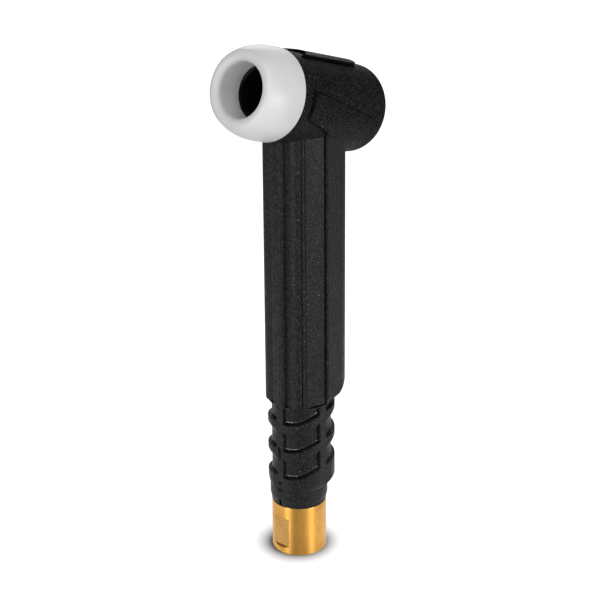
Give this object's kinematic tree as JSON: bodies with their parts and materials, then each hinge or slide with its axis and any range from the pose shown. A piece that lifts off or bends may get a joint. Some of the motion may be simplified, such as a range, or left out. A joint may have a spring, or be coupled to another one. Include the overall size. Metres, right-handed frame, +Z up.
{
  "type": "tig torch",
  "caption": "Angled TIG torch body with ribbed black handle, short barrel head, white pull-off insulator ring, threaded tail and brass connector.",
  "frame": {"origin": "centre of the brass connector's bottom face", "axes": "+Z up along the handle, the nose of the head points to -Y and 20.5 degrees up, X across the head"},
  "size_m": [0.0264, 0.0542, 0.1584],
  "materials": {
    "black_plastic": "moulded black, fine grain",
    "inner_plastic": "smooth black, semi-matte",
    "white_insulator": "smooth white, soft sheen",
    "brass": "turned, lightly brushed",
    "copper": "drawn copper tube",
    "braze": "silver braze fillet",
    "tube_insulation": "extruded sleeve",
    "seal_rubber": "plain"
  },
  "bodies": {
    "torch_body": {"tail_connector": "brass", "connector_seal": "seal_rubber", "tail_collar": "black_plastic", "tail_sleeve": "black_plastic", "tail_dowels": "brass", "braze_tail": "braze", "power_tube": "copper", "tube_sleeve": "tube_insulation", "braze_head": "braze", "handle_core": "black_plastic", "nose_strip": "black_plastic", "side_shell_left": "black_plastic", "side_shell_right": "black_plastic", "head_jacket": "black_plastic", "top_plate": "black_plastic", "head_body": "brass", "gallery_band": "brass", "nose_sleeve": "inner_plastic", "nose_seal": "seal_rubber", "rear_sleeve": "inner_plastic", "rear_seal": "seal_rubber"},
    "ring": {"insulator_ring": "white_insulator"}
  },
  "joints": [
    {"name": "insulator_ring_slide", "type": "slide", "parent": "torch_body", "child": "ring", "axis": [0, -0.9367, 0.3502], "range_m": [0, 0.012]}
  ]
}
